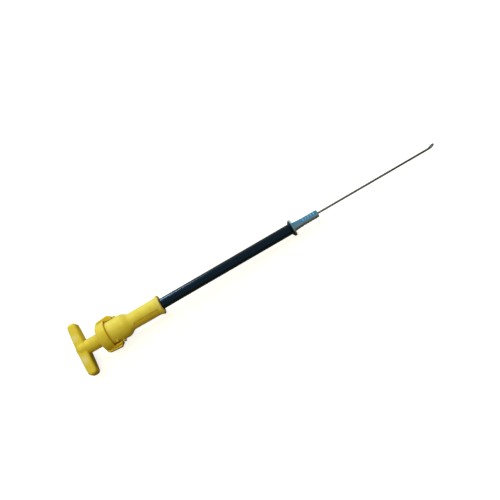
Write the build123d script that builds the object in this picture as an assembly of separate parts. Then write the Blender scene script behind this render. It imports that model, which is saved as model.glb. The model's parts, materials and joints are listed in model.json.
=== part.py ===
from build123d import *
import os
from functools import reduce
from math import asin, atan, atan2, degrees, hypot, radians, tan

# Oil dipstick in its guide tube, lying as it comes to rest.
# Every piece is drawn on the tube axis first: X runs from the handle to the tip and is 0 just in
# front of the block flange, Y runs along the T-bar, and all sizes are in millimetres.
# An outline is a list of (x, radius, corner rounding) points that is turned about the tube axis.

# Handle cap: T-bar, stem, collar and plug
BAR_X = -219.2
BAR_LENGTH = 51.2
BAR_ROOT_WIDTH = 9.6
BAR_ROOT_DEPTH = 13.4
BAR_END_WIDTH = 8.4
BAR_END_DEPTH = 11.0
BAR_END_CROWN = 0.8
BAR_CORNER_ROUND = 3.2
BAR_EDGE_ROUND = 2.3
BAR_BLEND = 1.2
BOSS_R = 7.7
BOSS_RISE = 0.9
BOSS_ROUND = 5.5
BOSS_END_X = -216.4
BOSS_END_ROUND = 2.2
STEM_R = 6.5
STEM_X = -213.9
STEM_START_ROUND = 2.2
STEM_BLEND = 1.4
COLLAR_TOP_X = -201.5
COLLAR_SLOPE = 1.3
COLLAR_R = 13.4
COLLAR_DRAFT = 0.2
COLLAR_ROUND = 3.0
SKIRT_EDGE_X = -191.2
SKIRT_WALL = 1.6
SKIRT_EDGE_ROUND = 0.4
ROOF_X = -197.9
PLUG_R = 8.7
PLUG_END_X = -183.0
PLUG_ROUND = 1.2

# Seal ring on the plug, with its groove
RING_X = -187.3
RING_CORD_R = 1.0
RING_GROOVE_WIDTH = 2.6
RING_CLEARANCE = 0.05

# Two hooks of the cap: a thin finger with a rib on its back, a claw at its tip and a wall on one edge
HOOK_ROOT_R = 12.2
HOOK_TIP_X = -183.9
FINGER_START_X = -193.2
FINGER_HALF_ANGLE = 14.0
FINGER_INNER_R = 12.5
FINGER_OUTER_R = 14.2
FINGER_START_ROUND = 0.5
FINGER_TIP_ROUND = 0.9
RIB_START_X = -200.2
RIB_HALF_ANGLE = 7.5
RIB_START_R = 13.4
RIB_RISE_X = -198.2
RIB_RISE_R = 15.3
RIB_RISE_ROUND = 1.0
RIB_END_R = 16.2
RIB_END_X = -186.5
RIB_END_ROUND = 1.6
RIB_FOOT_R = 13.8
CLAW_LENGTH = 1.3
CLAW_INNER_R = 11.6
CLAW_ROUND = 0.3
WALL_INNER_R = 11.65
WALL_HALF_ANGLE = 2.25

# Locking socket: bulb, sleeve and flared rim
BULB_MOUTH_R = 11.3
BULB_BORE_R = 9.0
BULB_END_R = 11.0
BULB_END_X = -175.0
BULB_END_ROUND = 6.0
BULB_BORE_END_X = -181.0
MOUTH_GAP = 0.5
MOUTH_ROUND = 0.6
FUNNEL_END_X = -173.0
SLEEVE_X = -170.1
SLEEVE_R = 7.8
SLEEVE_END_R = 8.05
SLEEVE_BLEND = 3.0
RIM_START_X = -142.8
RIM_X = -139.0
RIM_R = 9.4
RIM_ROUND = 0.5
RIM_FACE_X = -138.1
RIM_FACE_R = 8.8
RIM_ENTRY_R = 5.5
RIM_ENTRY_DEPTH = 0.6

# Pegs that the claws catch, stops beyond the fingertips, and grooves along the sleeve
PEG_X = -187.0
PEG_R = 1.5
PEG_TOP_R = 12.2
PEG_ROUND = 0.8
PEG_TURN = 26.0
STOP_START_X = -183.1
STOP_END_X = -180.8
STOP_TOP_R = 12.85
STOP_HALF_ANGLE = 10.0
STOP_ROUND = 0.5
GROOVE_START_X = -167.4
GROOVE_END_X = -142.2
GROOVE_WIDTH = 3.2
GROOVE_DEPTH = 0.8
GROOVE_TURN = 49.0

# Guide tube
TUBE_R = 5.0
TUBE_BORE_R = 3.5
TUBE_START_X = -166.0
TUBE_END_X = -4.6
TUBE_EDGE_ROUND = 0.3

# Block fitting: spigot in the tube, coned flange and ridged shank
SPIGOT_LENGTH = 14.0
SPIGOT_BORE_R = 2.7
FLANGE_R = 7.8
FLANGE_BACK_X = -2.9
FLANGE_SEAT_X = -0.7
FLANGE_BACK_ROUND = 1.2
FLANGE_EDGE_ROUND = 0.5
NECK_R = 4.2
REGISTER_X = 4.6
REGISTER_R = 3.7
REGISTER_END_X = 8.0
RIDGE_ROOT_R = 3.4
RIDGE_TOP_R = 3.65
RIDGE_FIRST_X = 9.5
RIDGE_PITCH = 2.7
RIDGE_WIDTH = 1.8
RIDGE_FLANK = 0.6
RIDGE_COUNT = 5
SHANK_END_X = 24.4
SHANK_END_ROUND = 0.4

# Gauge wire with its flattened leaf
WIRE_R = 0.9
WIRE_START_X = -209.0
WIRE_END_X = 140.8
LEAF_X = 142.9
LEAF_RISE = 0.75
LEAF_LENGTH = 6.8
LEAF_WIDTH = 2.7
LEAF_THICKNESS = 0.9
LEAF_TILT = 17.6
LEAF_TURN = 12.0

# Air left under the T-bar's end at rest, so that the weight stays on the collar and the flange
REST_GAP = 0.12


def turned(outline, half_angle=180.0):
    """Turn an outline about the tube axis, through half_angle to each side of the Y direction."""
    points = [(x, r) for x, r, _ in outline]
    corners = [corner for _, _, corner in outline]
    face = make_face(FilletPolyline(*points, radius=corners, close=True))
    return revolve(Rot(X=-half_angle) * face, Axis.X, 2 * half_angle)


def opposite_pair(shape):
    """The shape and its twin half a turn round the tube axis."""
    return [shape, Rot(X=180) * shape]


def barrel(length, end_width, middle_width):
    """Flat outline along Y with bulging sides and crowned ends."""
    x = end_width / 2
    y = length / 2 - BAR_END_CROWN
    return make_face([
        ThreePointArc((x, -y), (middle_width / 2, 0), (x, y)),
        ThreePointArc((x, y), (0, length / 2), (-x, y)),
        ThreePointArc((-x, y), (-middle_width / 2, 0), (-x, -y)),
        ThreePointArc((-x, -y), (0, -length / 2), (x, -y)),
    ])


def t_bar():
    """Whole T-bar: thickest on the tube axis, with crowned and rounded ends."""
    plan = barrel(BAR_LENGTH, BAR_END_WIDTH, BAR_ROOT_WIDTH)
    plan = fillet(plan.vertices(), BAR_CORNER_ROUND)
    profile = barrel(BAR_LENGTH + 2 * BAR_END_CROWN, BAR_END_DEPTH, BAR_ROOT_DEPTH)
    bar = extrude(plan, BAR_ROOT_DEPTH, both=True)
    bar &= Rot(Y=90) * extrude(profile, BAR_ROOT_WIDTH, both=True)
    back, *_, front = bar.faces().sort_by(Axis.Z)
    return Pos(BAR_X, 0, 0) * fillet(back.edges() + front.edges(), BAR_EDGE_ROUND)


def stem_collar_and_plug():
    """Turned core of the cap, from the boss on the bar to the end of the plug."""
    boss_x = BAR_X - BAR_ROOT_WIDTH / 2 - BOSS_RISE
    skirt_bore_r = COLLAR_R - SKIRT_WALL
    groove_floor_r = BULB_BORE_R - 2 * RING_CORD_R - 2 * RING_CLEARANCE
    groove_start = RING_X - RING_GROOVE_WIDTH / 2
    groove_end = RING_X + RING_GROOVE_WIDTH / 2
    return turned([
        (boss_x, 0, 0),
        (boss_x, BOSS_R, BOSS_ROUND),
        (BOSS_END_X, BOSS_R, BOSS_END_ROUND),
        (STEM_X, STEM_R, STEM_START_ROUND),
        (COLLAR_TOP_X, STEM_R, STEM_BLEND),
        (COLLAR_TOP_X + COLLAR_SLOPE, COLLAR_R - COLLAR_DRAFT, COLLAR_ROUND),
        (SKIRT_EDGE_X, COLLAR_R, SKIRT_EDGE_ROUND),
        (SKIRT_EDGE_X, skirt_bore_r, SKIRT_EDGE_ROUND),
        (ROOF_X, skirt_bore_r, 0),
        (ROOF_X, PLUG_R, 0),
        (groove_start, PLUG_R, 0),
        (groove_start, groove_floor_r, 0),
        (groove_end, groove_floor_r, 0),
        (groove_end, PLUG_R, 0),
        (PLUG_END_X, PLUG_R, PLUG_ROUND),
        (PLUG_END_X, 0, 0),
    ])


def hook():
    """One hook on the T-bar's +Y side: finger, claw, rib and the wall that meets the peg."""
    root_end = SKIRT_EDGE_X - SKIRT_EDGE_ROUND
    claw_start = HOOK_TIP_X - CLAW_LENGTH
    finger = turned([
        (FINGER_START_X, HOOK_ROOT_R, 0),
        (FINGER_START_X, FINGER_OUTER_R, FINGER_START_ROUND),
        (HOOK_TIP_X, FINGER_OUTER_R, FINGER_TIP_ROUND),
        (HOOK_TIP_X, CLAW_INNER_R, CLAW_ROUND),
        (claw_start, CLAW_INNER_R, CLAW_ROUND),
        (claw_start, FINGER_INNER_R, 0),
        (root_end, FINGER_INNER_R, 0),
        (root_end, HOOK_ROOT_R, 0),
    ], FINGER_HALF_ANGLE)
    rib = turned([
        (RIB_START_X, HOOK_ROOT_R, 0),
        (RIB_START_X, RIB_START_R, 0),
        (RIB_RISE_X, RIB_RISE_R, RIB_RISE_ROUND),
        (RIB_END_X, RIB_END_R, RIB_END_ROUND),
        (HOOK_TIP_X, RIB_FOOT_R, 0),
        (claw_start, FINGER_INNER_R, 0),
        (root_end, FINGER_INNER_R, 0),
        (root_end, HOOK_ROOT_R, 0),
    ], RIB_HALF_ANGLE)
    wall = turned([
        (root_end, WALL_INNER_R, 0),
        (root_end, FINGER_OUTER_R - FINGER_TIP_ROUND, 0),
        (HOOK_TIP_X, FINGER_OUTER_R - FINGER_TIP_ROUND, 0),
        (HOOK_TIP_X, WALL_INNER_R, CLAW_ROUND),
    ], WALL_HALF_ANGLE)
    return finger + rib + Rot(X=FINGER_HALF_ANGLE - WALL_HALF_ANGLE) * wall


def handle_cap():
    """T-handle, collar, hooks and plug in one moulding, with a blind hole for the wire."""
    core = stem_collar_and_plug() - wire_rod(WIRE_START_X, PLUG_END_X)
    for part in opposite_pair(hook()):
        core += part
    bar = t_bar()
    body = bar + core
    return fillet(new_edges(bar, core, combined=body), BAR_BLEND)


def cap_seal_ring():
    """Round-section rubber ring that seals the plug in the bulb."""
    middle_r = BULB_BORE_R - RING_CLEARANCE - RING_CORD_R
    section = Pos(RING_X, middle_r) * Circle(RING_CORD_R)
    return revolve(section, Axis.X)


def peg():
    """One round peg with a domed head, on the +Y side of the bulb."""
    foot_r = (BULB_BORE_R + BULB_MOUTH_R) / 2
    height = PEG_TOP_R - foot_r
    pin = Cylinder(PEG_R, height, align=(Align.CENTER, Align.CENTER, Align.MIN))
    pin = fillet(pin.edges().sort_by(Axis.Z)[-1:], PEG_ROUND)
    return Pos(PEG_X, foot_r, 0) * Rot(X=-90) * pin


def stop_lug():
    """One low stop just beyond a fingertip."""
    foot_r = (BULB_BORE_R + BULB_MOUTH_R) / 2
    return turned([
        (STOP_START_X, foot_r, 0),
        (STOP_START_X, STOP_TOP_R, STOP_ROUND),
        (STOP_END_X, STOP_TOP_R, STOP_ROUND),
        (STOP_END_X, foot_r, 0),
    ], STOP_HALF_ANGLE)


def sleeve_groove():
    """Cutter for one long groove with round ends, on the +Y side of the sleeve."""
    length = GROOVE_END_X - GROOVE_START_X
    floor_r = SLEEVE_R - GROOVE_DEPTH
    plane = Plane(origin=((GROOVE_START_X + GROOVE_END_X) / 2, floor_r, 0), x_dir=(1, 0, 0), z_dir=(0, 1, 0))
    return extrude(plane * SlotOverall(length, GROOVE_WIDTH), SLEEVE_R)


def locking_socket():
    """Bulb, sleeve and rim in one moulding, open from the mouth to the tube seat."""
    mouth_x = ROOF_X + MOUTH_GAP
    body = turned([
        (mouth_x, BULB_BORE_R, MOUTH_ROUND),
        (mouth_x, BULB_MOUTH_R, MOUTH_ROUND),
        (BULB_END_X, BULB_END_R, BULB_END_ROUND),
        (SLEEVE_X, SLEEVE_R, SLEEVE_BLEND),
        (RIM_START_X, SLEEVE_END_R, RIM_ROUND),
        (RIM_X, RIM_R, RIM_ROUND),
        (RIM_FACE_X, RIM_FACE_R, RIM_ROUND),
        (RIM_FACE_X, RIM_ENTRY_R, 0),
        (RIM_FACE_X - RIM_ENTRY_DEPTH, TUBE_R, 0),
        (TUBE_START_X, TUBE_R, 0),
        (TUBE_START_X, TUBE_BORE_R, 0),
        (FUNNEL_END_X, TUBE_BORE_R, 0),
        (BULB_BORE_END_X, BULB_BORE_R, 0),
    ])
    for part in opposite_pair(stop_lug()) + opposite_pair(Rot(X=-PEG_TURN) * peg()):
        body += part
    for cutter in opposite_pair(Rot(X=-GROOVE_TURN) * sleeve_groove()):
        body -= cutter
    return body


def guide_tube():
    """Straight tube from its seat in the sleeve to the back of the block flange."""
    return turned([
        (TUBE_START_X, TUBE_BORE_R, 0),
        (TUBE_START_X, TUBE_R, TUBE_EDGE_ROUND),
        (TUBE_END_X, TUBE_R, 0),
        (TUBE_END_X, TUBE_BORE_R, 0),
    ])


def shank_ridges():
    """Outline points of the ridges along the shank, from the register to the free end."""
    points = []
    for index in range(RIDGE_COUNT):
        start = RIDGE_FIRST_X + index * RIDGE_PITCH
        end = start + RIDGE_WIDTH
        points += [
            (start, RIDGE_ROOT_R, 0),
            (start + RIDGE_FLANK, RIDGE_TOP_R, 0),
            (end - RIDGE_FLANK, RIDGE_TOP_R, 0),
            (end, RIDGE_ROOT_R, 0),
        ]
    return points


def block_fitting():
    """Turned metal nipple: spigot inside the tube, flange, smooth register and ridged shank."""
    spigot_x = TUBE_END_X - SPIGOT_LENGTH
    return turned([
        (spigot_x, SPIGOT_BORE_R, 0),
        (spigot_x, TUBE_BORE_R, 0),
        (TUBE_END_X, TUBE_BORE_R, 0),
        (TUBE_END_X, TUBE_R, 0),
        (FLANGE_BACK_X, FLANGE_R, FLANGE_BACK_ROUND),
        (FLANGE_SEAT_X, FLANGE_R, FLANGE_EDGE_ROUND),
        (FLANGE_SEAT_X, NECK_R, 0),
        (REGISTER_X, REGISTER_R, 0),
        (REGISTER_END_X, REGISTER_R, 0),
        (REGISTER_END_X + RIDGE_FLANK, RIDGE_ROOT_R, 0),
        *shank_ridges(),
        (SHANK_END_X, RIDGE_ROOT_R, SHANK_END_ROUND),
        (SHANK_END_X, SPIGOT_BORE_R, 0),
    ])


def wire_rod(start_x, end_x):
    """Plain round rod of the wire's size along the tube axis."""
    return Pos(start_x, 0, 0) * Rot(Y=90) * Cylinder(
        WIRE_R, end_x - start_x, align=(Align.CENTER, Align.CENTER, Align.MIN)
    )


def gauge_wire():
    """Straight wire whose end is flattened into a tilted leaf."""
    outline = Pos(LEAF_X, LEAF_RISE) * Rot(Z=LEAF_TILT) * Ellipse(LEAF_LENGTH / 2, LEAF_WIDTH / 2)
    leaf = extrude(outline, LEAF_THICKNESS / 2, both=True)
    return wire_rod(WIRE_START_X, WIRE_END_X) + Rot(X=LEAF_TURN) * leaf


def rest_pitch():
    """Angle in degrees at which the collar's edge and the flange's edge stand on one plane."""
    return degrees(atan((COLLAR_R - FLANGE_R) / (FLANGE_SEAT_X - SKIRT_EDGE_X)))


def rest_roll():
    """Angle in degrees at which one end of the T-bar also comes down to that plane."""
    along = BAR_LENGTH / 2 - BAR_EDGE_ROUND
    taper = (BAR_ROOT_DEPTH - BAR_END_DEPTH) / 2 * (along / (BAR_LENGTH / 2)) ** 2
    across = BAR_ROOT_DEPTH / 2 - taper - BAR_EDGE_ROUND
    axis_height = COLLAR_R + (SKIRT_EDGE_X - BAR_X) * tan(radians(rest_pitch()))
    drop = axis_height - BAR_EDGE_ROUND - REST_GAP
    return degrees(asin(drop / hypot(along, across)) - atan2(across, along))


def laid_down(pieces):
    """Roll and pitch all pieces into their rest, and put the origin under the middle of their box."""
    tipped = {name: Rot(Y=rest_pitch()) * Rot(X=rest_roll()) * piece for name, piece in pieces.items()}
    first, *others = [piece.bounding_box() for piece in tipped.values()]
    box = reduce(BoundBox.add, others, first)
    middle = box.center()
    return {name: Pos(-middle.X, -middle.Y, -box.min.Z) * piece for name, piece in tipped.items()}


PIECES = {
    "handle_cap": handle_cap,
    "cap_seal_ring": cap_seal_ring,
    "gauge_wire": gauge_wire,
    "locking_socket": locking_socket,
    "guide_tube": guide_tube,
    "block_fitting": block_fitting,
}

os.makedirs("parts", exist_ok=True)
for node, solid in laid_down({name: make() for name, make in PIECES.items()}).items():
    export_step(solid, f"parts/{node}.step")
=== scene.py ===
"""Looks of an oil dipstick in its guide tube: finishes, fine moulded detail, studio and camera.

Places along the part are in millimetres on the tube axis: 0 just in front of the block flange, minus
towards the handle and plus towards the leaf. Everything handed to Blender is in metres.
"""

import json
import logging
import math
from collections.abc import Callable, Sequence
from dataclasses import dataclass, field
from enum import Enum
from typing import Any

import bmesh
import bpy
from mathutils import Matrix, Vector
from mathutils.bvhtree import BVHTree


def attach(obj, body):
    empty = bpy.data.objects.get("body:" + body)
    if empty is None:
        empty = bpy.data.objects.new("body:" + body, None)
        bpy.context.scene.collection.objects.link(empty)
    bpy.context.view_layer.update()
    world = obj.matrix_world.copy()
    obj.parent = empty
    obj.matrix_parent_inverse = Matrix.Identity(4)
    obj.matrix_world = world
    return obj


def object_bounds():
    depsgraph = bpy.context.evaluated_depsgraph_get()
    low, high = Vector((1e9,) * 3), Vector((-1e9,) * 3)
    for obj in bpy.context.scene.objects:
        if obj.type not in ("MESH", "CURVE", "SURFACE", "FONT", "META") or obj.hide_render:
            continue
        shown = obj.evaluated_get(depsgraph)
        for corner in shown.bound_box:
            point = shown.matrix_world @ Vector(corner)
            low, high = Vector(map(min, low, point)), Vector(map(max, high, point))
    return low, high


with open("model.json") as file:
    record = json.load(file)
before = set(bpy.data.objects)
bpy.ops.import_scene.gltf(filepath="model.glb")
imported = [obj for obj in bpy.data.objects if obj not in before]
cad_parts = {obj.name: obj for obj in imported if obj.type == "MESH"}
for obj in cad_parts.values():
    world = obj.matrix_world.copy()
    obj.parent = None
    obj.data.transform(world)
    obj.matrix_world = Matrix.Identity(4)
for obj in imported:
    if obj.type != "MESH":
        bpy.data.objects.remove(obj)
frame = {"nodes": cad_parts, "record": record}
CAD_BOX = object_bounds()
LOG = logging.getLogger("dipstick")
MM = 0.001
IMAGE_PX = 500
SEAT_X = -0.7
ARM_END_SHARE = 0.95
MIX_FIRST, MIX_SECOND, MIX_RESULT = 6, 7, 2

Colour = tuple[float, float, float]


def seen(red: int, green: int, blue: int) -> Colour:
    """Turn a colour as the eye reads it into the linear one that shaders take.

    Args:
        red: Red from 0 to 255.
        green: Green from 0 to 255.
        blue: Blue from 0 to 255.

    Returns:
        The three linear parts, from 0 to 1.
    """
    parts = (value / 255 for value in (red, green, blue))
    return tuple(p / 12.92 if p <= 0.04045 else ((p + 0.055) / 1.055) ** 2.4 for p in parts)


class Signal:
    """A number socket of a node board that takes part in Python arithmetic."""

    def __init__(self, board: "NodeBoard", socket: bpy.types.NodeSocket) -> None:
        """Keep the board and the output socket that the number comes from."""
        self.board = board
        self.socket = socket

    def maths(self, operation: str, *operands: Any) -> "Signal":
        """Add one Math node to the board.

        Args:
            operation: Blender's name of the operation.
            *operands: Signals or numbers, in the node's own order.

        Returns:
            The result of the operation.
        """
        return self.board.node("ShaderNodeMath", {"operation": operation}, dict(enumerate(operands)))

    def __add__(self, other: Any) -> "Signal":
        """Sum of the two."""
        return self.maths("ADD", self, other)

    def __radd__(self, other: Any) -> "Signal":
        """Sum of the two."""
        return self.maths("ADD", other, self)

    def __sub__(self, other: Any) -> "Signal":
        """This signal less the other."""
        return self.maths("SUBTRACT", self, other)

    def __rsub__(self, other: Any) -> "Signal":
        """The other less this signal."""
        return self.maths("SUBTRACT", other, self)

    def __mul__(self, other: Any) -> "Signal":
        """Product of the two."""
        return self.maths("MULTIPLY", self, other)

    def larger(self, other: Any) -> "Signal":
        """The larger of the two."""
        return self.maths("MAXIMUM", self, other)

    def root(self) -> "Signal":
        """Square root."""
        return self.maths("SQRT", self)

    def between(self, low: float, high: float) -> "Signal":
        """Map low to 0 and high to 1 in a smooth step.

        Args:
            low: Value that gives 0.
            high: Value that gives 1.

        Returns:
            The smooth step from 0 to 1.
        """
        inputs = {"Value": self, "From Min": low, "From Max": high}
        return self.board.node("ShaderNodeMapRange", {"interpolation_type": "SMOOTHSTEP"}, inputs)


class NodeBoard:
    """Node tree of one material or of the world, filled through one method."""

    def __init__(self, tree: bpy.types.NodeTree) -> None:
        """Empty the tree and keep it."""
        self.tree = tree
        tree.nodes.clear()

    def node(
        self,
        kind: str,
        settings: dict[str, Any] | None = None,
        inputs: dict[Any, Any] | None = None,
        output: Any = 0,
    ) -> Signal:
        """Add one node: its settings first, then the values or links of its sockets.

        Args:
            kind: Blender's node type.
            settings: Attributes of the node.
            inputs: Values or signals by socket name or number.
            output: Name or number of the output that is handed back.

        Returns:
            The chosen output, or the first input of a node that has no output.
        """
        made = self.tree.nodes.new(kind)
        for name, value in (settings or {}).items():
            setattr(made, name, value)
        for key, value in (inputs or {}).items():
            if isinstance(value, Signal):
                self.tree.links.new(value.socket, made.inputs[key])
            else:
                made.inputs[key].default_value = value
        return Signal(self, made.outputs[output] if made.outputs else made.inputs[0])

    def mix(self, factor: Any, first: Any, second: Any) -> Signal:
        """Mix two colours.

        Args:
            factor: Share of the second colour, a signal or a number.
            first: Colour or signal at 0.
            second: Colour or signal at 1.

        Returns:
            The mixed colour.
        """
        inputs = {"Factor": factor, MIX_FIRST: opaque(first), MIX_SECOND: opaque(second)}
        return self.node("ShaderNodeMix", {"data_type": "RGBA"}, inputs, output=MIX_RESULT)

    def place(self) -> Signal:
        """Position on the piece in its own coordinates, in metres."""
        return self.node("ShaderNodeTexCoord", output="Object")

    def spot(self, middle: Vector, radius: float) -> Signal:
        """Soft round spot.

        Args:
            middle: Its middle on the piece, in metres.
            radius: Distance from the middle where the spot ends, in metres.

        Returns:
            1 in the middle and 0 outside.
        """
        inputs = {0: self.place(), 1: middle}
        distance = self.node("ShaderNodeVectorMath", {"operation": "DISTANCE"}, inputs, output="Value")
        return distance.between(radius, 0.0)

    def principled(self, **sockets: Any) -> None:
        """End the board in a Principled shader.

        Args:
            **sockets: Values or signals by socket name, with _ for a blank.
        """
        inputs = {name.replace("_", " "): value for name, value in sockets.items()}
        shader = self.node("ShaderNodeBsdfPrincipled", None, inputs)
        self.node("ShaderNodeOutputMaterial", None, {"Surface": shader})


def opaque(colour: Any) -> Any:
    """Add full alpha to a plain colour and leave a signal as it is."""
    return colour if isinstance(colour, Signal) else (*colour, 1.0)


@dataclass(frozen=True)
class TubeAxis:
    """The line that all pieces are turned about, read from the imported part.

    Attributes:
        origin: Point of the axis that places along the part are counted from, in metres.
        along: Unit vector from the handle to the leaf.
        arm: Unit vector from the axis along the T-bar's lower arm.
    """

    origin: Vector
    along: Vector
    arm: Vector

    @classmethod
    def from_frame(cls) -> "TubeAxis":
        """Find the axis from the record's mounts and the T-bar's direction from the handle's mesh.

        Returns:
            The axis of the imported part.
        """
        mounts = {mount["name"]: mount for mount in frame["record"]["mounts"]}
        along = Vector(mounts["block_shank"]["axis"]).normalized()
        on_axis = Vector(mounts["block_shank"]["pos_m"])
        seat = on_axis + along * (Vector(mounts["flange_seat"]["pos_m"]) - on_axis).dot(along)
        spokes = []
        for vertex in frame["nodes"]["handle_cap"].data.vertices:
            offset = vertex.co - seat
            spokes.append(offset - along * offset.dot(along))
        reach = max(spoke.length for spoke in spokes)
        lower_end = [spoke for spoke in spokes if spoke.length > ARM_END_SHARE * reach and spoke.y < 0]
        return cls(seat - along * SEAT_X * MM, along, sum(lower_end, Vector()).normalized())

    def spoke(self, turn: float) -> Vector:
        """Unit vector out from the axis.

        Args:
            turn: Degrees round the axis from the T-bar's lower arm, towards the part's upper side.

        Returns:
            The direction.
        """
        angle = math.radians(turn)
        return self.arm * math.cos(angle) + self.arm.cross(self.along) * math.sin(angle)

    def at(self, x: float, radius: float = 0.0, turn: float = 0.0) -> Vector:
        """Point beside the axis.

        Args:
            x: Millimetres along the axis.
            radius: Millimetres out from the axis.
            turn: Degrees round the axis from the T-bar's lower arm.

        Returns:
            The point, in metres.
        """
        return self.origin + (self.along * x + self.spoke(turn) * radius) * MM

    def place_of(self, point: Vector) -> tuple[float, float]:
        """Place of a point along the axis and its distance from it.

        Args:
            point: The point, in metres.

        Returns:
            Both in millimetres.
        """
        offset = (point - self.origin) / MM
        x = offset.dot(self.along)
        return x, (offset - self.along * x).length

    def reach(self, board: NodeBoard, direction: Vector) -> Signal:
        """How far a point of the surface lies from the axis' origin in one direction, as a shader value.

        Args:
            board: Board that the nodes go on.
            direction: Unit vector of the direction.

        Returns:
            The distance in millimetres.
        """
        inputs = {0: board.place(), 1: self.origin}
        offset = board.node("ShaderNodeVectorMath", {"operation": "SUBTRACT"}, inputs)
        inputs = {0: offset, 1: direction / MM}
        return board.node("ShaderNodeVectorMath", {"operation": "DOT_PRODUCT"}, inputs, output="Value")

    def signal(self, board: NodeBoard) -> Signal:
        """Place along the axis in millimetres, as a shader value."""
        return self.reach(board, self.along)

    def radius(self, board: NodeBoard) -> Signal:
        """Distance from the axis in millimetres, as a shader value."""
        across = self.reach(board, self.spoke(0))
        upward = self.reach(board, self.spoke(90))
        return (across * across + upward * upward).root()


AXIS = TubeAxis.from_frame()


class Slot(Enum):
    """Material slots of the record."""

    YELLOW = "yellow_plastic"
    RUBBER = "seal_rubber"
    WIRE = "wire_steel"
    TUBE = "black_tube"
    METAL = "plated_metal"


def new_material(name: str) -> tuple[bpy.types.Material, NodeBoard]:
    """Make an empty node material.

    Args:
        name: Name of the material.

    Returns:
        The material and its board.
    """
    material = bpy.data.materials.new(name)
    material.use_nodes = True
    return material, NodeBoard(material.node_tree)


@dataclass(frozen=True)
class Fade:
    """Two levels of a value between which a mask fades in.

    Attributes:
        start: Level that gives 0.
        full: Level that gives 1.
    """

    start: float
    full: float

    def of(self, value: Signal) -> Signal:
        """Mask of the value, from 0 to 1 in a smooth step."""
        return value.between(self.start, self.full)


@dataclass(frozen=True)
class Clouds:
    """Cloudy noise.

    Attributes:
        scale: Number of clouds along one unit of the coordinates.
        detail: Number of finer layers.
        rough: Weight of the finer layers.
        fade: Levels of the noise that its mask is cut from.
    """

    scale: float
    detail: float = 2.0
    rough: float = 0.5
    fade: Fade = Fade(0.0, 1.0)

    def level(self, board: NodeBoard, place: Signal) -> Signal:
        """Read the noise.

        Args:
            board: Board that the node goes on.
            place: Coordinates that the noise is read at.

        Returns:
            The noise from 0 to 1.
        """
        inputs = {"Vector": place, "Scale": self.scale, "Detail": self.detail, "Roughness": self.rough}
        return board.node("ShaderNodeTexNoise", None, inputs)

    def mask(self, board: NodeBoard, place: Signal) -> Signal:
        """Mask of the clouds: 1 inside them and 0 outside, read as in level."""
        return self.fade.of(self.level(board, place))


@dataclass(frozen=True)
class DrawLines:
    """Fine lines along X that drawing or extruding leaves.

    Attributes:
        along: Number of changes along a metre of X.
        across: Number of lines along a metre of Y and Z.
    """

    along: float
    across: float

    def level(self, board: NodeBoard, place: Signal) -> Signal:
        """Read the lines.

        Args:
            board: Board that the nodes go on.
            place: Coordinates in metres.

        Returns:
            Their height from 0 to 1.
        """
        inputs = {0: place, 1: (self.along, self.across, self.across)}
        drawn = board.node("ShaderNodeVectorMath", {"operation": "MULTIPLY"}, inputs)
        return Clouds(1.0).level(board, drawn)


@dataclass(frozen=True)
class Relief:
    """Fine relief of a surface.

    Attributes:
        depth: Its depth in millimetres.
        strength: Share of it that shows.
    """

    depth: float
    strength: float

    def normal(self, board: NodeBoard, height: Signal) -> Signal:
        """Turn a height from 0 to 1 into a surface normal.

        Args:
            board: Board that the node goes on.
            height: The height.

        Returns:
            The bent normal.
        """
        inputs = {"Height": height, "Distance": self.depth * MM, "Strength": self.strength}
        return board.node("ShaderNodeBump", None, inputs)


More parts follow.
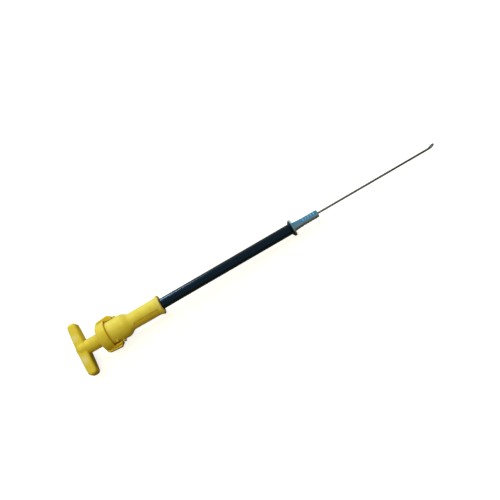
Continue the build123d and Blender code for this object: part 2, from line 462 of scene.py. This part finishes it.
@dataclass(frozen=True)
class MouldedYellow:
    """Satin yellow polyamide as it comes from the mould, with painted highlights beside the boss of the
    T-bar and on the socket's rim, and painted shade in its corners.

    Attributes:
        name: Name of the material.
        deep: Colour of most of the surface.
        pale: Colour of the cloudy patches.
        highlight_tone: Pale colour of the painted highlight spots and rim.
        corner_shade: Colour of the painted shade in the corners.
        tint: Colour of the gloss.
        roughness: Roughness of the plain surface.
        gloss: Specular level.
        clouds: The cloudy patches.
        grain: Fine grain of the mould.
        grain_share: Share of the grain in the relief; the flow marks are the rest.
        flow: Flow marks of the plastic.
        flow_rough: How much the flow marks change the roughness.
        relief: Relief of grain and flow marks.
        shade_reach: Distance within which a corner counts as one, in millimetres.
        shade_fade: Share of open sky over which the painted corner shade fades in.
        shade_share: How much of the plastic the painted corner shade hides.
        highlight_x: Place of the painted highlight spots along the axis.
        highlight_arm: Distance of the spots from the axis along the arms.
        highlight_front: Distance of the spots from the axis towards the front.
        highlight_radius: Radius of a spot.
        highlight_upper: Strength of the upper arm's spot against the lower one's.
        highlight_share: How much of the plastic the painted highlight hides at least.
        highlight_flow: How much more it hides where the flow marks are high.
        highlight_polish: How much the highlight spots take off the roughness.
        rim_highlight_fade: Places along the axis over which the painted highlight on the socket's rim
            fades in.
        rim_highlight_share: Strength of the painted highlight on the rim against that of the lower arm's
            spot.
    """

    name: str
    deep: Colour
    pale: Colour
    # painted highlight: pale colour of the spots beside the boss and of the socket's rim
    highlight_tone: Colour = seen(235, 232, 186)
    # painted shade: darker orange colour for the corners
    corner_shade: Colour = seen(196, 146, 18)
    tint: Colour = (1.0, 0.85, 0.4)
    roughness: float = 0.46
    gloss: float = 0.1
    clouds: Clouds = Clouds(140, 3, fade=Fade(0.3, 0.7))
    grain: Clouds = Clouds(2600)
    grain_share: float = 0.6
    flow: Clouds = Clouds(320)
    flow_rough: float = 0.16
    relief: Relief = Relief(0.05, 0.5)
    shade_reach: float = 7.0
    shade_fade: Fade = Fade(1.0, 0.35)
    shade_share: float = 0.75
    highlight_x: float = -220.6
    highlight_arm: float = 11.0
    highlight_front: float = 6.2
    highlight_radius: float = 5.5
    highlight_upper: float = 0.7
    highlight_share: float = 0.55
    highlight_flow: float = 0.5
    highlight_polish: float = 0.12
    rim_highlight_fade: Fade = Fade(-142.1, -139.6)
    rim_highlight_share: float = 0.4

    def painted_highlight(self, board: NodeBoard) -> Signal:
        """Mask of the painted highlight: two spots beside the boss of the T-bar, and the socket's rim.

        Args:
            board: Board that the nodes go on.

        Returns:
            1 in the middle of a spot and 0 outside.
        """
        front = AXIS.spoke(90) * self.highlight_front * MM
        middles = (AXIS.at(self.highlight_x, self.highlight_arm, turn) + front for turn in (0, 180))
        lower, upper = (board.spot(middle, self.highlight_radius * MM) for middle in middles)
        # painted highlight: the socket's rim is made pale
        rim = self.rim_highlight_fade.of(AXIS.signal(board))
        return lower.larger(upper * self.highlight_upper).larger(rim * self.rim_highlight_share)

    def corners(self, board: NodeBoard) -> Signal:
        """Mask of the corners that take painted shade.

        Args:
            board: Board that the nodes go on.

        Returns:
            1 deep in a corner and 0 on an open surface.
        """
        inputs = {"Distance": self.shade_reach * MM}
        return self.shade_fade.of(board.node("ShaderNodeAmbientOcclusion", None, inputs, output="AO"))

    def material(self) -> bpy.types.Material:
        """Build the material.

        Returns:
            Cloudy yellow with a fine moulded grain, uneven sheen, painted highlight spots and painted
            shade in the corners.
        """
        material, board = new_material(self.name)
        place = board.place()
        grain = self.grain.level(board, place)
        flow = self.flow.level(board, place)
        # painted highlight on two spots beside the boss and on the socket's rim
        painted_highlight = self.painted_highlight(board)
        plain = board.mix(self.clouds.mask(board, place), self.deep, self.pale)
        # painted shade: corners found by ambient occlusion are mixed towards a darker orange
        plain = board.mix(self.corners(board) * self.shade_share, plain, self.corner_shade)
        height = grain * self.grain_share + flow * (1.0 - self.grain_share)
        board.principled(
            Base_Color=board.mix(painted_highlight * (self.highlight_share + flow * self.highlight_flow), plain, self.highlight_tone),
            Roughness=self.roughness + (flow - 0.5) * self.flow_rough - painted_highlight * self.highlight_polish,
            Specular_IOR_Level=self.gloss,
            Specular_Tint=opaque(self.tint),
            Normal=self.relief.normal(board, height),
        )
        return material


@dataclass(frozen=True)
class GlossyTubing:
    """Extruded black polyamide with a soft blue gloss and faint draw lines.

    Attributes:
        body: Colour of the plastic.
        scuffed: Colour of its scuffs.
        tint: Colour of the gloss.
        roughness: Roughness of the plain surface.
        gloss: Specular level.
        lines: Lines drawn along the tube.
        lines_rough: How much the lines add to the roughness.
        scuffs: The scuffs.
        scuffs_share: How much of the plastic a scuff hides.
        scuffs_rough: How much a scuff adds to the roughness.
        relief: Relief of the lines.
    """

    body: Colour = seen(5, 9, 13)
    scuffed: Colour = seen(14, 19, 24)
    tint: Colour = (0.24, 0.58, 1.0)
    roughness: float = 0.15
    gloss: float = 0.24
    lines: DrawLines = DrawLines(12, 1500)
    lines_rough: float = 0.04
    scuffs: Clouds = Clouds(420, 4, 0.65, Fade(0.62, 0.8))
    scuffs_share: float = 0.5
    scuffs_rough: float = 0.1
    relief: Relief = Relief(0.02, 0.35)

    def material(self) -> bpy.types.Material:
        """Build the material.

        Returns:
            Near black with lines drawn along the tube and faint scuffs.
        """
        material, board = new_material("glossy_tubing")
        place = board.place()
        lines = self.lines.level(board, place)
        scuffs = self.scuffs.mask(board, place)
        board.principled(
            Base_Color=board.mix(scuffs * self.scuffs_share, self.body, self.scuffed),
            Roughness=self.roughness + lines * self.lines_rough + scuffs * self.scuffs_rough,
            Specular_IOR_Level=self.gloss,
            Specular_Tint=opaque(self.tint),
            Normal=self.relief.normal(board, lines),
        )
        return material


@dataclass(frozen=True)
class PassivatedZinc:
    """Turned steel with a blue passivated zinc layer, with painted shade behind the flange and on its
    underside and a painted highlight on the flange's rim.

    Attributes:
        blue: Colour of most of the layer.
        grey: Colour of its cloudy patches.
        dull: Colour of its stains.
        lower_shade: Colour of the painted shade on the lower side.
        back_shade_tone: Colour of the painted shade on the flange's back.
        bright: Colour of the painted highlight on the flange's rim.
        roughness: Roughness of the clean metal.
        turning: Turning marks, counted along a millimetre of the axis.
        turning_rough: How much the marks add to the roughness.
        relief: Relief of the marks.
        bloom: The cloudy patches.
        stains: The stains.
        stains_share: How much of the layer a stain hides.
        stains_metal: How much metallic look a stain takes.
        stains_rough: How much a stain adds to the roughness.
        lower_shade_turn: Degrees round the axis from the T-bar's lower arm to the middle of the shaded
            lower side.
        oil_and_shade_fade: Distances from the axis, towards the shaded lower side, over which the painted
            shade fades in.
        oil_and_shade_share: How much of the layer the painted shade on the lower side hides at least.
        lower_shade_turning: How much more it hides in the turning marks.
        back_shade_along: Places along the axis over which the painted shade behind the flange fades in.
        back_shade_below: Heights above the axis over which that painted shade fades in.
        ring_radius: Distances from the axis over which the painted highlight on the rim fades in.
        ring_front: Places along the axis over which it fades in.
        ring_height: Heights above the axis over which it fades in.
        crown: Heights above the axis over which the painted highlight covers the whole rim.
        glint_metal: How much metallic look the painted highlight takes away.
        glint_rough: How much the painted highlight adds to the roughness.
    """

    blue: Colour = seen(60, 118, 150)
    grey: Colour = seen(76, 122, 144)
    dull: Colour = seen(52, 84, 98)
    lower_shade: Colour = seen(106, 122, 126)
    back_shade_tone: Colour = seen(12, 36, 44)
    bright: Colour = seen(170, 200, 206)
    roughness: float = 0.28
    turning: Clouds = Clouds(7, 3, 0.6)
    turning_rough: float = 0.12
    relief: Relief = Relief(0.02, 0.4)
    bloom: Clouds = Clouds(260, 3, fade=Fade(0.35, 0.7))
    stains: Clouds = Clouds(700, 4, 0.6, Fade(0.55, 0.8))
    stains_share: float = 0.5
    stains_metal: float = 0.2
    stains_rough: float = 0.12
    lower_shade_turn: float = 16.0
    oil_and_shade_fade: Fade = Fade(0.6, 3.4)
    oil_and_shade_share: float = 0.7
    lower_shade_turning: float = 0.4
    back_shade_along: Fade = Fade(-1.7, -2.5)
    back_shade_below: Fade = Fade(4.6, 3.0)
    ring_radius: Fade = Fade(6.4, 7.2)
    ring_front: Fade = Fade(-2.3, -1.7)
    ring_height: Fade = Fade(-1.0, 3.0)
    crown: Fade = Fade(4.4, 6.2)
    glint_metal: float = 0.8
    glint_rough: float = 0.2

    def rim_glint(self, board: NodeBoard, along: Signal, above: Signal) -> Signal:
        """Mask of the painted highlight on the flange's rim.

        Args:
            board: Board that the nodes go on.
            along: Place along the axis.
            above: Height above the axis.

        Returns:
            1 on the highlight and 0 outside.
        """
        outer = self.ring_radius.of(AXIS.radius(board))
        ring = outer * self.ring_front.of(along) * self.ring_height.of(above)
        return ring.larger(self.crown.of(above))

    def material(self) -> bpy.types.Material:
        """Build the material.

        Returns:
            Cloudy blue-grey metal with turning marks round the axis, painted shade behind the flange and
            on the underside, and a painted highlight on the flange's rim.
        """
        material, board = new_material("passivated_zinc")
        place = board.place()
        along = AXIS.signal(board)
        above = AXIS.reach(board, AXIS.spoke(self.lower_shade_turn + 180))
        turning = self.turning.level(board, board.node("ShaderNodeCombineXYZ", None, {0: along}))
        stains = self.stains.mask(board, place)
        # painted shade: the lower side is mixed towards a duller grey
        oil_and_shade = self.oil_and_shade_fade.of(AXIS.reach(board, AXIS.spoke(self.lower_shade_turn)))
        # painted shade: the flange's back is darkened
        back_shade = self.back_shade_along.of(along) * self.back_shade_below.of(above)
        # painted highlight: the flange's rim is made pale
        rim_glint = self.rim_glint(board, along, above)
        layer = board.mix(self.bloom.mask(board, place), self.blue, self.grey)
        layer = board.mix(stains * self.stains_share, layer, self.dull)
        layer = board.mix(oil_and_shade * (self.oil_and_shade_share + turning * self.lower_shade_turning), layer, self.lower_shade)
        layer = board.mix(rim_glint, layer, self.bright)
        rough = turning * self.turning_rough + stains * self.stains_rough + rim_glint * self.glint_rough
        board.principled(
            Base_Color=board.mix(back_shade, layer, self.back_shade_tone),
            Metallic=1.0 - stains * self.stains_metal - rim_glint * self.glint_metal,
            Roughness=self.roughness + rough,
            Normal=self.relief.normal(board, turning),
        )
        return material


@dataclass(frozen=True)
class DrawnSteel:
    """Drawn steel wire, darkened by oil towards its leaf, whose pressed middle is wiped bright.

    Attributes:
        clean: Colour of the wire at the fitting.
        oiled: Colour of the wire under the oil.
        wiped: Colour of the leaf's middle.
        roughness: Roughness of the wire.
        lines: Lines drawn along the wire.
        lines_rough: How much the lines add to the roughness.
        relief: Relief of the lines.
        film: Uneven film of the oil.
        oil_and_shade_fade: Places along the axis over which the oil fades in.
        oil_and_shade_share: How much of the steel the oil hides at least.
        oil_film: How much more it hides where the film is thick.
        leaf_x: Place of the leaf's middle along the axis.
        leaf_rise: Distance of the leaf's middle from the axis.
        leaf_turn: Degrees round the axis from the T-bar's lower arm to the leaf's middle.
        leaf_radius: Radius of the wiped spot.
        wiped_share: How much of the oil is wiped off in the middle.
    """

    clean: Colour = seen(84, 92, 89)
    oiled: Colour = seen(48, 60, 57)
    wiped: Colour = seen(112, 136, 126)
    roughness: float = 0.34
    lines: DrawLines = DrawLines(60, 4000)
    lines_rough: float = 0.14
    relief: Relief = Relief(0.01, 0.4)
    film: Clouds = Clouds(160, 3)
    oil_and_shade_fade: Fade = Fade(10.0, 130.0)
    oil_and_shade_share: float = 0.65
    oil_film: float = 0.6
    leaf_x: float = 142.9
    leaf_rise: float = 0.75
    leaf_turn: float = 168.0
    leaf_radius: float = 2.4
    wiped_share: float = 0.9

    def material(self) -> bpy.types.Material:
        """Build the material.

        Returns:
            Grey steel with lines along the wire and a darker oiled end.
        """
        material, board = new_material("drawn_steel")
        place = board.place()
        lines = self.lines.level(board, place)
        film = self.film.level(board, place)
        oil_and_shade = self.oil_and_shade_fade.of(AXIS.signal(board)) * (self.oil_and_shade_share + film * self.oil_film)
        leaf = board.spot(AXIS.at(self.leaf_x, self.leaf_rise, self.leaf_turn), self.leaf_radius * MM)
        wire = board.mix(oil_and_shade, self.clean, self.oiled)
        board.principled(
            Base_Color=board.mix(leaf * self.wiped_share, wire, self.wiped),
            Metallic=1.0,
            Roughness=self.roughness + lines * self.lines_rough,
            Normal=self.relief.normal(board, lines),
        )
        return material


@dataclass(frozen=True)
class SealRubber:
    """Matt black rubber with a little bloom.

    Attributes:
        black: Colour of the rubber.
        bloom: Colour of its dusty patches.
        roughness: Roughness of the clean rubber.
        dust: The dusty patches.
        dust_share: How much of the rubber the dust hides.
        dust_rough: How much the dust adds to the roughness.
        grain: Fine grain of the surface.
        relief: Relief of the grain.
    """

    black: Colour = seen(20, 20, 21)
    bloom: Colour = seen(44, 44, 45)
    roughness: float = 0.62
    dust: Clouds = Clouds(500, 3, fade=Fade(0.45, 0.75))
    dust_share: float = 0.5
    dust_rough: float = 0.18
    grain: Clouds = Clouds(3000)
    relief: Relief = Relief(0.03, 0.4)

    def material(self) -> bpy.types.Material:
        """Build the material.

        Returns:
            Black rubber with pale dusty patches.
        """
        material, board = new_material("seal_rubber_finish")
        place = board.place()
        dust = self.dust.mask(board, place)
        board.principled(
            Base_Color=board.mix(dust * self.dust_share, self.black, self.bloom),
            Roughness=self.roughness + dust * self.dust_rough,
            Normal=self.relief.normal(board, self.grain.level(board, place)),
        )
        return material


def new_piece(name: str, vertices: Sequence[Vector], faces: Sequence[Sequence[int]]) -> bpy.types.Object:
    """Make a mesh object and put it in the scene.

    Args:
        name: Name of the object.
        vertices: Its points, in metres.
        faces: Point numbers of each face.

    Returns:
        The object.
    """
    mesh = bpy.data.meshes.new(name)
    mesh.from_pydata([tuple(vertex) for vertex in vertices], [], [tuple(face) for face in faces])
    piece = bpy.data.objects.new(name, mesh)
    bpy.context.scene.collection.objects.link(piece)
    return piece


@dataclass
class PackedPiece:
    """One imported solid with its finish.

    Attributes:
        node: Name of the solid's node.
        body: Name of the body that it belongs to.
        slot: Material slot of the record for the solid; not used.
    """

    node: str
    body: str
    slot: Slot

    def dress(self, material: bpy.types.Material) -> bpy.types.Object:
        """Give the solid its finish.

        Args:
            material: The finish.

        Returns:
            The solid's object.
        """
        solid = frame["nodes"][self.node]
        solid.data.materials.clear()
        solid.data.materials.append(material)
        LOG.info("dressed %s in %s", self.node, material.name)
        return solid

    def carry(self, detail: bpy.types.Object, material: bpy.types.Material) -> None:
        """Let a piece of fine detail move with this solid and look like it.

        Args:
            detail: The detail's object, in place.
            material: The solid's finish.
        """
        detail.data.materials.append(material)
        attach(detail, self.body)
        LOG.info("added %s with %d faces", detail.name, len(detail.data.polygons))


@dataclass
class MouldSeam:
    """Fine raised line that the joint of the mould leaves round a moulding.

    Attributes:
        half_width: Half the line's width, in millimetres.
        height: Height of its crest, in millimetres.
        root: Depth of its edges under the skin, in millimetres.
        step: Distance between its points, in millimetres.
        weld: Distance within which points of the cut are one, in millimetres.
        on_plane: Distance within which points count as on the cut's plane, in millimetres.
    """

    half_width: float = 0.16
    height: float = 0.09
    root: float = 0.02
    step: float = 0.5
    weld: float = 0.002
    on_plane: float = 0.00001

    def trace(self, solid: bpy.types.Object) -> list[list[Vector]]:
        """Cut the solid with the plane of the tube axis and the T-bar.

        Args:
            solid: The moulding's object.

        Returns:
            The closed lines of the cut, in order round each.
        """
        cut = bmesh.new()
        cut.from_mesh(solid.data)
        parts = cut.verts[:] + cut.edges[:] + cut.faces[:]
        bmesh.ops.bisect_plane(
            cut, geom=parts, dist=self.on_plane * MM, plane_co=AXIS.origin, plane_no=AXIS.spoke(90),
            clear_inner=True, clear_outer=True,
        )
        bmesh.ops.remove_doubles(cut, verts=cut.verts[:], dist=self.weld * MM)
        lines = []
        left = dict.fromkeys(cut.verts)
        while left:
            vertex = next(iter(left))
            del left[vertex]
            line = [vertex.co.copy()]
            while vertex:
                ahead = [edge.other_vert(vertex) for edge in vertex.link_edges]
                vertex = next((other for other in ahead if other in left), None)
                if vertex:
                    del left[vertex]
                    line.append(vertex.co.copy())
            lines.append(line)
        cut.free()
        return lines

    def even(self, line: Sequence[Vector]) -> list[Vector]:
        """Points at even steps along a closed line.

        Args:
            line: Corners of the line.

        Returns:
            The points.
        """
        points = []
        due = 0.0
        for start, end in zip(line, [*line[1:], line[0]]):
            length = (end - start).length
            while due < length:
                points.append(start.lerp(end, due / length))
                due += self.step * MM
            due -= length
        return points

    def build(
        self, name: str, solid: bpy.types.Object, shows: Callable[[float, float], bool]
    ) -> bpy.types.Object:
        """Raise the line where the moulding is open to view.

        Args:
            name: Name of the new object.
            solid: The moulding's object.
            shows: Tells from place along the axis and distance from it whether the line shows there.

        Returns:
            The line's object.
        """
        corners = [vertex.co for vertex in solid.data.vertices]
        skin = BVHTree.FromPolygons(corners, [face.vertices for face in solid.data.polygons])
        side = AXIS.spoke(90) * self.half_width * MM
        vertices: list[Vector] = []
        faces: list[tuple[int, ...]] = []
        for line in self.trace(solid):
            joined = False
            for point in self.even(line):
                _, normal, _, _ = skin.find_nearest(point)
                x, radius = AXIS.place_of(point)
                if not shows(x, radius):
                    joined = False
                    continue
                first = len(vertices)
                edge = point - normal * self.root * MM
                vertices += [edge - side, point + normal * self.height * MM, edge + side]
                if joined:
                    faces.append((first - 3, first - 2, first + 1, first))
                    faces.append((first - 2, first - 1, first + 2, first + 1))
                joined = True
        return new_piece(name, vertices, faces)


@dataclass
class HandleCap(PackedPiece):
    """T-handle, collar, hooks and plug in one yellow moulding.

    Attributes:
        seam: Line of the mould's joint.
        skirt_x: Place along the axis up to which the whole outline is open to view.
        hook_radius: Distance from the axis outside which the hooks are open to view.
        gate_x: Place of the gate mark on the end of the boss.
        gate_radius: Radius of the mark's pad.
        gate_height: Height of the pad.
        nub_radius: Radius of the broken sprue in the middle.
        nub_taper: Radius of its end against that of its foot.
        nub_height: Height of the broken sprue.
        sides: Number of sides of the round mark.
    """

    node: str = "handle_cap"
    body: str = "dipstick"
    slot: Slot = Slot.YELLOW
    seam: MouldSeam = field(default_factory=MouldSeam)
    skirt_x: float = -198.5
    hook_radius: float = 13.9
    gate_x: float = -224.9
    gate_radius: float = 1.3
    gate_height: float = 0.12
    nub_radius: float = 0.55
    nub_taper: float = 0.8
    nub_height: float = 0.3
    sides: int = 32

    def build(self, material: bpy.types.Material) -> None:
        """Dress the moulding and add its seam and its gate mark.

        Args:
            material: The yellow finish.
        """
        solid = self.dress(material)
        self.carry(self.seam.build("handle_seam", solid, self.in_view), material)
        self.carry(self.gate(), material)

    def in_view(self, x: float, radius: float) -> bool:
        """Whether a point of the outline, given along the axis and out from it, is open to view."""
        return x < self.skirt_x or radius > self.hook_radius

    def gate(self) -> bpy.types.Object:
        """Make the mark that the sprue leaves on the end of the boss.

        Returns:
            A low round pad with a nub.
        """
        foot = self.gate_x + self.nub_height
        pad = self.gate_x - self.gate_height
        nub = self.gate_x - self.nub_height
        outline = [
            (foot, self.gate_radius),
            (pad, self.gate_radius),
            (pad, self.nub_radius),
            (nub, self.nub_radius * self.nub_taper),
        ]
        turns = [360 * index / self.sides for index in range(self.sides)]
        vertices = [AXIS.at(x, radius, turn) for x, radius in outline for turn in turns]
        faces: list[tuple[int, ...]] = []
        for ring in range(len(outline) - 1):
            low, high = ring * self.sides, (ring + 1) * self.sides
            for index in range(self.sides):
                ahead = (index + 1) % self.sides
                faces.append((low + index, low + ahead, high + ahead, high + index))
        faces.append(tuple(range(len(vertices) - self.sides, len(vertices))))
        return new_piece("handle_gate_mark", vertices, faces)


@dataclass
class LockingSocket(PackedPiece):
    """Bulb, sleeve and flared rim in one yellow moulding.

    Attributes:
        seam: Line of the mould's joint.
        mouth_x: Place along the axis where the bulb comes out of the collar.
        end_x: Place along the axis where the rim's face is near.
        skin_radius: Distance from the axis outside which the surface is the outer one.
    """

    node: str = "locking_socket"
    body: str = "tube_assembly"
    slot: Slot = Slot.YELLOW
    seam: MouldSeam = field(default_factory=MouldSeam)
    mouth_x: float = -180.6
    end_x: float = -139.4
    skin_radius: float = 7.2

    def build(self, material: bpy.types.Material) -> None:
        """Dress the moulding and add its seam.

        Args:
            material: The yellow finish.
        """
        solid = self.dress(material)
        self.carry(self.seam.build("socket_seam", solid, self.in_view), material)

    def in_view(self, x: float, radius: float) -> bool:
        """Whether a point of the outline, given along the axis and out from it, is open to view."""
        return self.mouth_x < x < self.end_x and radius > self.skin_radius


@dataclass
class PlainPiece(PackedPiece):
    """Solid whose shape needs nothing beyond its finish."""

    def build(self, material: bpy.types.Material) -> None:
        """Dress the solid.

        Args:
            material: Its finish.
        """
        self.dress(material)


class Rays(Enum):
    """Kinds of rays that the Light Path node tells apart."""

    CAMERA = "Is Camera Ray"
    GLOSSY = "Is Glossy Ray"
    TRANSMISSION = "Is Transmission Ray"


def mask_of(board: NodeBoard, *kinds: Rays) -> Signal:
    """Mask of some kinds of rays.

    Args:
        board: Board that the nodes go on.
        *kinds: The kinds.

    Returns:
        1 for those rays, and 0 for the rest.
    """
    first, *others = (board.node("ShaderNodeLightPath", output=kind.value) for kind in kinds)
    for other in others:
        first = first.larger(other)
    return first


@dataclass
class Floor:
    """Plain pale floor: white to the eye and in reflections, and a dull warm grey in what it bounces.

    Attributes:
        size: Metres along each side.
        white: Colour that the eye and the reflections see.
        glow: Colour of the brightness that is added for the eye.
        lift: How much is added, so that the lit floor is plain white and the shadow stays soft.
        bounce: Colour that lights the part from below.
        far: Metres from the part's middle over which the floor becomes the backdrop's white.
    """

    size: float = 8.0
    white: Colour = (0.42, 0.42, 0.42)
    glow: Colour = (1.0, 1.0, 1.0)
    lift: float = 0.82
    bounce: Colour = (0.115, 0.05, 0.007)
    far: Fade = Fade(0.35, 0.9)

    def build(self) -> bpy.types.Object:
        """Lay the floor.

        Returns:
            The floor, marked as stage.
        """
        half = self.size / 2
        signs = ((-1, -1), (1, -1), (1, 1), (-1, 1))
        floor = new_piece("floor", [Vector((x * half, y * half, 0)) for x, y in signs], [(0, 1, 2, 3)])
        floor.data.materials.append(self.material())
        return floor

    def material(self) -> bpy.types.Material:
        """Build the floor's finish.

        Returns:
            The material.
        """
        material, board = new_material("pale_floor")
        colour = board.mix(mask_of(board, *Rays), self.bounce, self.white)
        shade = board.node("ShaderNodeBsdfDiffuse", None, {"Color": colour})
        inputs = {0: board.place()}
        distance = board.node("ShaderNodeVectorMath", {"operation": "LENGTH"}, inputs, output="Value")
        strength = mask_of(board, Rays.CAMERA) * (self.lift + self.far.of(distance) * (1.0 - self.lift))
        glow = board.node("ShaderNodeEmission", None, {"Color": opaque(self.glow), "Strength": strength})
        lifted = board.node("ShaderNodeAddShader", None, {0: shade, 1: glow})
        board.node("ShaderNodeOutputMaterial", None, {"Surface": lifted})
        return material


@dataclass
class Softbox:
    """One rectangular lamp that points at the middle of the part.

    Attributes:
        name: Name of the lamp.
        azimuth: Degrees round the vertical from the camera's side (-Y), towards +X.
        elevation: Degrees above the floor.
        distance: Metres from the part.
        width: Metres across.
        height: Metres up.
        watts: Power of the lamp.
        colour: Colour of its light.
        mirrored: Whether glossy surfaces show the lamp.
    """

    name: str
    azimuth: float
    elevation: float
    distance: float
    width: float
    height: float
    watts: float
    colour: Colour = (1.0, 1.0, 1.0)
    mirrored: bool = True

    def build(self, target: Vector) -> bpy.types.Object:
        """Hang the lamp.

        Args:
            target: Point that the lamp looks at.

        Returns:
            The lamp's object.
        """
        light = bpy.data.lights.new(self.name, "AREA")
        light.shape = "RECTANGLE"
        light.size = self.width
        light.size_y = self.height
        light.energy = self.watts
        light.color = self.colour
        lamp = bpy.data.objects.new(self.name, light)
        lamp.visible_glossy = self.mirrored
        bpy.context.scene.collection.objects.link(lamp)
        turn, lift = math.radians(self.azimuth), math.radians(self.elevation)
        away = Vector((math.sin(turn) * math.cos(lift), -math.cos(turn) * math.cos(lift), math.sin(lift)))
        lamp.location = target + away * self.distance
        lamp.rotation_euler = away.to_track_quat("Z", "Y").to_euler()
        return lamp


@dataclass
class Studio:
    """Floor, lamps and world round the part.

    Attributes:
        floor: The floor.
        lamps: The softboxes.
        ambient: Colour of the world's light on the part.
        backdrop: Colour of the world for the eye and in reflections.
    """

    floor: Floor = field(default_factory=Floor)
    lamps: tuple[Softbox, ...] = (
        Softbox(
            "window", azimuth=195.5, elevation=35.0, distance=1.4, width=0.22, height=0.27, watts=8.6,
            colour=(0.82, 0.93, 1.0),
        ),
        Softbox("skylight", azimuth=245.0, elevation=58.0, distance=1.5, width=1.1, height=1.0, watts=8.4),
        Softbox(
            "rear", azimuth=112.0, elevation=28.0, distance=1.6, width=0.5, height=0.5, watts=8.0,
            colour=(1.0, 0.83, 0.28), mirrored=False,
        ),
        Softbox(
            "fill", azimuth=355.0, elevation=56.0, distance=1.6, width=1.0, height=0.8, watts=10.6,
            colour=(1.0, 0.88, 0.24), mirrored=False,
        ),
    )
    ambient: Colour = (0.07, 0.031, 0.004)
    backdrop: Colour = (1.0, 1.0, 1.0)

    def build(self) -> None:
        """Set up the floor, the lamps, the world and the plain view transform."""
        self.floor.build()
        middle = (CAD_BOX[0] + CAD_BOX[1]) / 2
        for lamp in self.lamps:
            lamp.build(middle)
        world = bpy.data.worlds.new("studio")
        world.use_nodes = True
        board = NodeBoard(world.node_tree)
        colour = board.mix(mask_of(board, *Rays), self.ambient, self.backdrop)
        light = board.node("ShaderNodeBackground", None, {"Color": colour, "Strength": 1.0})
        board.node("ShaderNodeOutputWorld", None, {"Surface": light})
        bpy.context.scene.world = world
        bpy.context.scene.view_settings.view_transform = "Standard"


@dataclass
class PhotoCamera:
    """Camera that sees the part as the photograph does.

    Attributes:
        focal_px: Focal length in pixels of the square image.
        mm_per_px: Scale on the tube axis.
        foot: Place on the axis that the image's middle looks at, in millimetres.
        lift: Distance of the image's middle above the axis, in millimetres.
        climb: Degrees that the axis climbs to the right in the image.
        elevation: Degrees of the view above the floor, seen along the axis.
        swing: Degrees that the camera swings towards the leaf.
        sensor_mm: Width of the sensor.
        near_m: Distance from which the camera sees, in metres.
    """

    focal_px: float = 646.0
    mm_per_px: float = 0.9
    foot: float = -44.83
    lift: float = 1.99
    climb: float = 30.19
    elevation: float = 52.2
    swing: float = -0.1
    sensor_mm: float = 36.0
    near_m: float = 0.01

    def build(self) -> bpy.types.Object:
        """Place the camera and make it the scene's own.

        Returns:
            The camera's object.
        """
        lift = math.radians(self.elevation)
        level = Vector((0.0, -math.cos(lift), math.sin(lift)))
        square = (level - AXIS.along * level.dot(AXIS.along)).normalized()
        above = square.cross(AXIS.along)
        swing = math.radians(self.swing)
        back = square * math.cos(swing) + AXIS.along * math.sin(swing)
        level_right = above.cross(back)
        climb = math.radians(self.climb)
        right = level_right * math.cos(climb) - above * math.sin(climb)
        up = level_right * math.sin(climb) + above * math.cos(climb)
        target = AXIS.at(self.foot) + above * self.lift * MM
        eye = target + back * self.focal_px * self.mm_per_px * MM
        lens = bpy.data.cameras.new("photo_camera")
        lens.sensor_width = self.sensor_mm
        lens.lens = self.focal_px / IMAGE_PX * self.sensor_mm
        lens.clip_start = self.near_m
        camera = bpy.data.objects.new("photo_camera", lens)
        bpy.context.scene.collection.objects.link(camera)
        turned = Matrix((right, up, back)).transposed().to_4x4()
        camera.matrix_world = Matrix.Translation(eye) @ turned
        bpy.context.scene.camera = camera
        return camera


def main() -> None:
    """Dress every piece and add its fine detail, then set up the studio and the camera."""
    logging.basicConfig(level=logging.INFO, format="%(name)s: %(message)s")
    handle_yellow = MouldedYellow("handle_yellow", deep=seen(222, 208, 77), pale=seen(228, 215, 93))
    socket_yellow = MouldedYellow("socket_yellow", deep=seen(225, 215, 92), pale=seen(231, 222, 114))
    HandleCap().build(handle_yellow.material())
    LockingSocket().build(socket_yellow.material())
    PlainPiece("cap_seal_ring", "seal", Slot.RUBBER).build(SealRubber().material())
    PlainPiece("guide_tube", "tube_assembly", Slot.TUBE).build(GlossyTubing().material())
    PlainPiece("block_fitting", "tube_assembly", Slot.METAL).build(PassivatedZinc().material())
    PlainPiece("gauge_wire", "dipstick", Slot.WIRE).build(DrawnSteel().material())
    Studio().build()
    PhotoCamera().build()


if __name__ == "__main__":
    main()
